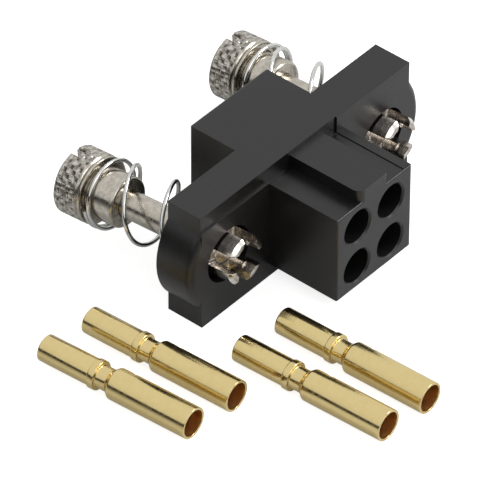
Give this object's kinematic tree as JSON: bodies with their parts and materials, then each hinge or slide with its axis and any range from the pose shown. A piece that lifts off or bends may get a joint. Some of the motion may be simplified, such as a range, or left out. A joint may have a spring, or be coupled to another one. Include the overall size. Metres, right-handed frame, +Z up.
{
  "type": "rectangular connector",
  "caption": "Rectangular multi-contact connector housing with sprung captive turn screws and loose crimp contacts.",
  "frame": {"origin": "centre of the flange's underside, at mid thickness, on the table", "axes": "+X along the flange, -Y the way the mating face looks, +Z up"},
  "size_m": [0.0481, 0.0448, 0.0139],
  "materials": {
    "housing_black": "charcoal black moulded thermoset, satin with a fine grain",
    "nickel": "turned brass, nickel plated",
    "spring_steel": "bright drawn spring wire",
    "contact_gold": "turned copper alloy, gold plated and polished",
    "clip_metal": "thin spring bronze strip"
  },
  "bodies": {
    "housing": {"housing": "housing_black", "retention_clip_1": "clip_metal", "retention_clip_2": "clip_metal", "retention_clip_3": "clip_metal", "retention_clip_4": "clip_metal", "crimp_contact_1": "contact_gold", "crimp_contact_2": "contact_gold", "crimp_contact_3": "contact_gold", "crimp_contact_4": "contact_gold", "contact_hood_1": "contact_gold", "contact_hood_2": "contact_gold", "contact_hood_3": "contact_gold", "contact_hood_4": "contact_gold", "return_spring_left": "spring_steel", "return_spring_right": "spring_steel"},
    "plunger_left": {"thrust_washer_left": "nickel"},
    "screw_left": {"knob_left": "nickel", "screw_shaft_left": "nickel", "latch_crown_left": "nickel"},
    "plunger_right": {"thrust_washer_right": "nickel"},
    "screw_right": {"knob_right": "nickel", "screw_shaft_right": "nickel", "latch_crown_right": "nickel"}
  },
  "joints": [
    {"name": "press_left", "type": "slide", "parent": "housing", "child": "plunger_left", "axis": [0, -0.9969, 0.0782], "range_m": [0, 0.008], "stiffness_N_per_m": 200, "springref_m": -0.004, "deforming": ["return_spring_left"]},
    {"name": "turn_left", "type": "hinge", "parent": "plunger_left", "child": "screw_left", "pos_m": [-0.01175, 0.0009, 0.00695], "axis": [0, -0.9969, 0.0782], "continuous": true},
    {"name": "press_right", "type": "slide", "parent": "housing", "child": "plunger_right", "axis": [0, -0.9969, 0.0782], "range_m": [0, 0.008], "stiffness_N_per_m": 200, "springref_m": -0.004, "deforming": ["return_spring_right"]},
    {"name": "turn_right", "type": "hinge", "parent": "plunger_right", "child": "screw_right", "pos_m": [0.01175, 0.0009, 0.00695], "axis": [0, -0.9969, 0.0782], "continuous": true}
  ]
}
